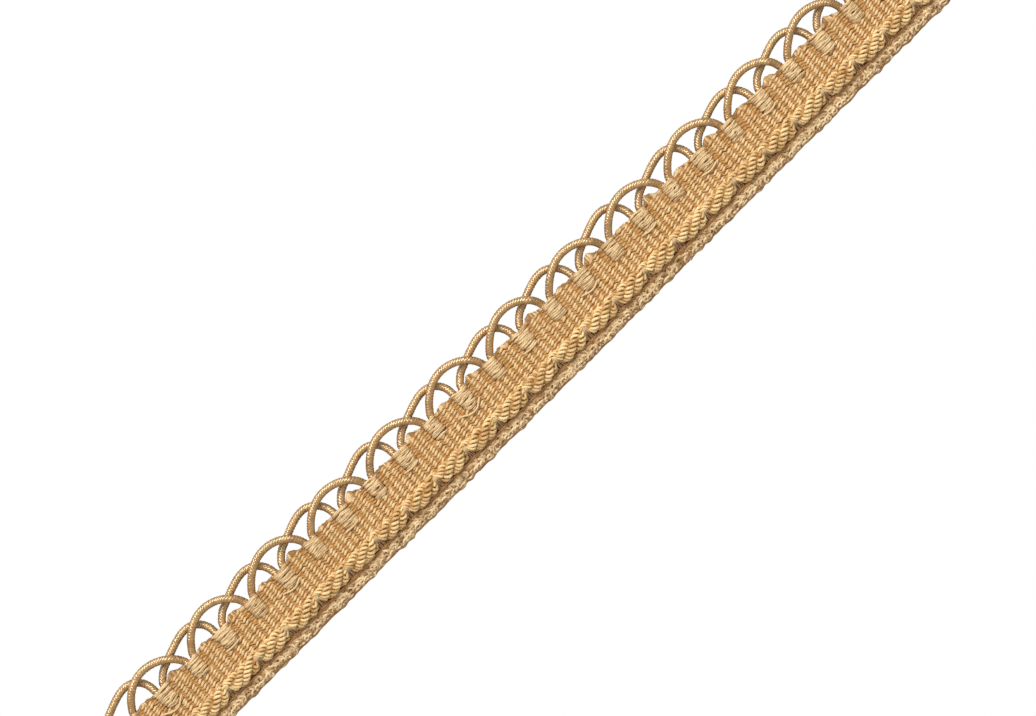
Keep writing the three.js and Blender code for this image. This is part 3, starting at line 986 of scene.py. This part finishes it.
def lay_rope_yarn(strand, yarn):
    """Lays one yarn, which winds round the middle of its strand as the strand winds round the rope's."""
    points = []
    radii = []
    tones = []
    ways = []
    for x in rope_places:
        lay = 2 * math.pi * strand / ROPE_STRANDS + winding * x + wander(x, strand, LAY_SWAY)
        out = Vector((0, math.cos(lay), math.sin(lay)))
        round_about = Vector((0, -math.sin(lay), math.cos(lay)))
        side = (Vector((1, 0, 0)) + round_about * STRAND_PLACE * winding).cross(out).normalized()
        turns = stretch * x / YARN_LEAD + yarn / STRAND_YARNS + strand * STRAND_TWIST_SHIFT
        twist = 2 * math.pi * turns + wander(x, strand + 20, TWIST_SWAY)
        own_out = out * math.cos(twist) + side * math.sin(twist)
        spot = out * STRAND_PLACE + own_out * YARN_PLACE
        points.append(rope_place(within(x + spot.x), spot.y, spot.z))
        radii.append(YARN_THICKNESS * from_least(TIE_YARN, rope_girth(x)))
        # Painted light on the crest of the yarn's turn, where it looks out of its strand
        crest = GRAIN_CREST_PAINTED_LIGHT * max(math.cos(twist), 0) ** GRAIN_NARROWNESS
        tones.append(GRAIN_SIDE_TONE + crest + wander(x, strand * 2 + yarn + 60, GRAIN_PATCHES))
        ways.append(tuple((own_out + out * ROPE_OUTWARD).normalized()))
    rope.lay(points, radii, tones, ways)


rope_yarn = plied_finish("rope_yarn", ROPE_SHADE, ROPE_LIGHT, plies=2, ply_length=0.6, depth=0.7)
rope = Yarns()
winding = ROPE_LAY / PITCH
stretch = math.hypot(1, STRAND_PLACE * winding)
rope_places = along_trim(round(LENGTH * stretch / YARN_LEAD * YARN_STEPS))
for across, up, radius in FILLINGS:
    places = rope_places[::FILLING_STEPS]
    filling = [rope_place(x, across, up) for x in places]
    rope.lay(filling, [radius * from_least(TIE_FILLING, rope_girth(x)) for x in places], FILLING_SHADE_TONE)
for strand in range(ROPE_STRANDS):
    for yarn in range(STRAND_YARNS):
        lay_rope_yarn(strand, yarn)
rope_strands = finished_piece("rope_strands", rope.spin(), rope_yarn, "rope_yarn", "rope")


# Rope ties: in each repeat a few yarns of the weft come out of the rope's back, pull its lip side up into
# a notch, and run down to the lip in a small fan, painted dark brown with shade from the notch down.
TIE_RADIUS = 0.19
TIE_YARNS = 8
TIE_SPACING = 0.36
TIE_UNEVENNESS = 0.15
TIE_STEPS = 2
# Across the trim, up, the share of the spacing between the yarns there, and their tone, which is painted
# shade from the notch down
TIE_ROUTE = [
    (-5.6, 3.0, 0.3, 0.5), (-6.2, 3.35, 0.4, 0.7), (-6.7, 3.1, 0.45, 0.8), (-7.2, 2.45, 0.6, 0.5),
    (-7.8, 1.85, 0.85, 0.2), (-8.7, 1.45, 1, 0.1), (-10.2, 1.2, 1, 0.0),
]
TIE_SHADE = (0.30, 0.14, 0.05, 1)
TIE_LIGHT = (0.90, 0.67, 0.37, 1)

tie_yarn = plied_finish("tie_yarn", TIE_SHADE, TIE_LIGHT, plies=2, ply_length=0.5, depth=0.4)
ties = Yarns()
for number in range(REPEATS):
    for strand in range(TIE_YARNS):
        points = []
        for y, z, spread, tone in TIE_ROUTE:
            aside = (strand - (TIE_YARNS - 1) / 2) * TIE_SPACING * spread
            stray = TIE_UNEVENNESS * uneven(number + strand * 1.7, y)
            points.append(Vector((binding_x(number) + ROPE_TIE_SHIFT + aside + stray, y, z)))
        line = smooth_line(points, TIE_STEPS)
        tones = [tone for y, z, spread, tone in TIE_ROUTE for step in range(TIE_STEPS)]
        ties.lay(line, TIE_RADIUS, tones[:len(line)])
rope_ties = finished_piece("rope_ties", ties.spin(), tie_yarn, "rope_yarn")


# Bed warps: between the rope and the lip two warps lie bare on the thin cloth, brown in their own colour and
# in painted shade under the rope's edge, and the fans of the ties end over them.
EDGE_STEPS_PER_REPEAT = 18
BED_WARP_SWAY = (0.2, 3.0)
BED_WARP_PATCHES = (0.5, 0.8)
# Across the trim, up, and radius
BED_WARPS = [(-9.25, 1.15, 0.34), (-9.75, 1.0, 0.28)]
BED_WARP_SHADE = (0.55, 0.265, 0.085, 1)

bed_yarn = plied_finish("lip_warp_yarn", BED_WARP_SHADE, YARN_LIGHT, plies=2, ply_length=0.5, depth=0.4)
bed = Yarns()
edge_places = along_trim(REPEATS * EDGE_STEPS_PER_REPEAT)
for y, z, radius in BED_WARPS:
    line = [Vector((x, y + wander(x, 60 + y, BED_WARP_SWAY), z)) for x in edge_places]
    bed.lay(line, radius, [wander(x, 61 + y, BED_WARP_PATCHES) for x in edge_places])
bed_warps = finished_piece("bed_warps", bed.spin(), bed_yarn, "ground_yarn")


# Lip: a narrow, loosely looped edge that is sewn into a seam. Its yarn lies in crowded, uneven curls and in
# wide arcs, and two yarns run along its wavy edge, with an open picot between them in every two repeats.
LIP_LEVEL = 0.88
LIP_YARN_RADIUS = 0.34
# Where the edge swings out: along from the back binding, the swing's half width, and its depth
LIP_TURNS = [(5.2, 1.6, 0.35), (8.2, 1.4, 0.25), (15.6, 1.8, 0.3)]
LIP_EDGE_SWAY = (0.2, 1.8)
# Across the trim: the middle of each row of curls, its curls' size along and across, and their spacing
LIP_CURLS = [(-10.4, 0.6, 0.62, 1.4), (-11.05, 0.7, 0.66, 1.55), (-11.6, 0.55, 0.5, 1.25)]
CURL_STEPS = 10
# How much of the edge's swing the first row of curls follows, and what each further row adds
FOLLOWS_EDGE = 0.2
FOLLOWS_MORE = 0.4
CURL_TURN_SWAY = (4, 2)
CURL_SIZE_SWAY = (0.7, 1.5)
CURL_SWAY = (0.4, 1.6)
CURL_LIFT = 0.28
CURL_HEAVE = (0.3, 1.3)
# A curl is painted lighter on its top, where it lifts, and darker underneath in painted shade
CURL_TONE = 0.55
CURL_TOP_PAINTED_LIGHT = 0.45
CURL_PATCHES = (1.9, 0.6)
ARC_FOOT = -10.95
ARC_HEIGHT = 0.95
ARC_SPAN = 3.5
ARC_STEPS = 14
ARC_POINTEDNESS = 0.7
ARC_LEVEL = 0.1
ARC_LIFT = 0.2
ARC_TURN_SWAY = (2, 7)
ARC_SWAY = (0.2, 3.0)
ARC_TONE = 0.6
ARC_PATCHES = (0.6, 1)
# In from the edge, the share of a picot's cut that the yarn goes round, up, tone and patches
EDGE_YARNS = [(-0.1, 0, 0.4, 0, (1.2, 0.7)), (0.25, 0.75, 0.72, 0.5, (2.2, 0.6))]
LIP_SHADE = (0.34, 0.17, 0.06, 1)
LIP_LIGHT = (0.88, 0.65, 0.37, 1)


def lip_edge(x):
    """Where the lip's wavy edge runs at x."""
    place = from_back_binding(x)
    drop = sum(depth * swelling(place - along, half_width) for along, half_width, depth in LIP_TURNS)
    return LIP_EDGE - drop + wander(x, 77, LIP_EDGE_SWAY)


def lay_curls(row, middle, long, wide, spacing):
    """Lays one row of curls. The nearer it lies to the edge, the more it follows the edge in and out."""
    points = []
    tones = []
    for x in along_trim(round(LENGTH / spacing) * CURL_STEPS):
        turn = 2 * math.pi * x / spacing + wander(x, row + 3, CURL_TURN_SWAY)
        size = 1 + wander(x, row + 9, CURL_SIZE_SWAY)
        followed = (lip_edge(x) + lip_cut(x) - LIP_EDGE) * (FOLLOWS_EDGE + FOLLOWS_MORE * row)
        y = middle + followed + wide * size * math.cos(turn) + wander(x, row + 15, CURL_SWAY)
        z = LIP_LEVEL + CURL_LIFT * math.sin(turn + row) + wander(x, row + 5, CURL_HEAVE)
        points.append(Vector((within(x + long * size * math.sin(turn)), y, z)))
        # Painted light on the curl's top and painted shade underneath
        tone = CURL_TONE + CURL_TOP_PAINTED_LIGHT * math.sin(turn + row)
        tones.append(tone + wander(x, row + 30, CURL_PATCHES))
    lip.lay(points, LIP_YARN_RADIUS, tones)


lip_yarn = plied_finish("lip_yarn", LIP_SHADE, LIP_LIGHT, plies=2, ply_length=0.5, depth=0.4)
lip = Yarns()
for row, curls in enumerate(LIP_CURLS):
    lay_curls(row, *curls)
arcs = []
for x in along_trim(round(LENGTH / ARC_SPAN) * ARC_STEPS):
    bow = abs(math.sin(math.pi * x / ARC_SPAN + wander(x, 50, ARC_TURN_SWAY)))
    y = ARC_FOOT + ARC_HEIGHT * bow ** ARC_POINTEDNESS + wander(x, 51, ARC_SWAY)
    arcs.append(Vector((x, y, LIP_LEVEL + ARC_LEVEL + ARC_LIFT * bow)))
lip.lay(arcs, LIP_YARN_RADIUS, [ARC_TONE + wander(point.x, 52, ARC_PATCHES) for point in arcs])
for own, (inward, cut_share, z, tone, patches) in enumerate(EDGE_YARNS, 63):
    line = [Vector((x, lip_edge(x) + inward + cut_share * lip_cut(x), z)) for x in edge_places]
    lip.lay(line, LIP_YARN_RADIUS, [tone + wander(x, own, patches) for x in edge_places])
lip_loops = finished_piece("lip_loops", lip.spin(), lip_yarn, "ground_yarn")
